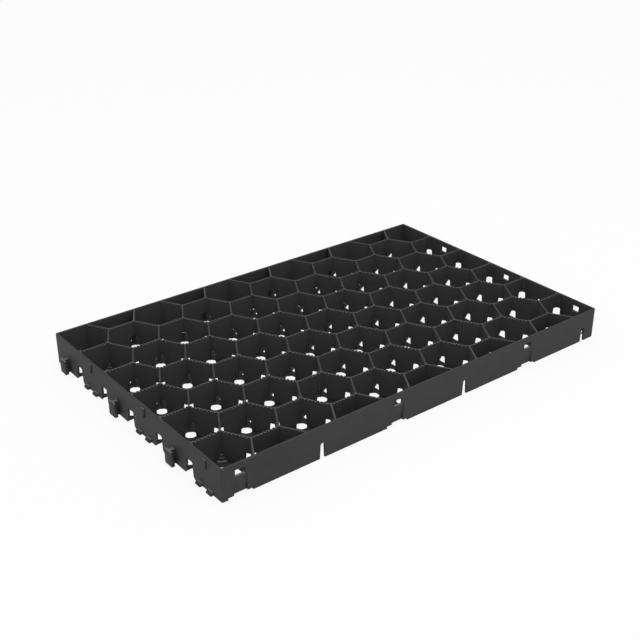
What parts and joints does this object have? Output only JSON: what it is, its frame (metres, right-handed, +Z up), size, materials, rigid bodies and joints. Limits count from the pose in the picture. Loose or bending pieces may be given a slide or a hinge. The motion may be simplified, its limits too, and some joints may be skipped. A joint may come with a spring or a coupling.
{
  "type": "ground stabilizer grid",
  "caption": "Rectangular moulded plastic honeycomb panel with arched cell junctions, drain holes in its foot, T-hooks on two sides and slots on the other two.",
  "frame": {"origin": "middle of the panel's bounding box on the ground", "axes": "+X along the long side towards the slotted short side, +Y from the slotted long side to the hooked long side, +Z up from the ground"},
  "size_m": [0.5698, 0.3656, 0.0394],
  "materials": {
    "moulded_plastic": "satin black, fine moulded grain"
  },
  "bodies": {
    "root": {"honeycomb_grid": "moulded_plastic"}
  },
  "joints": []
}
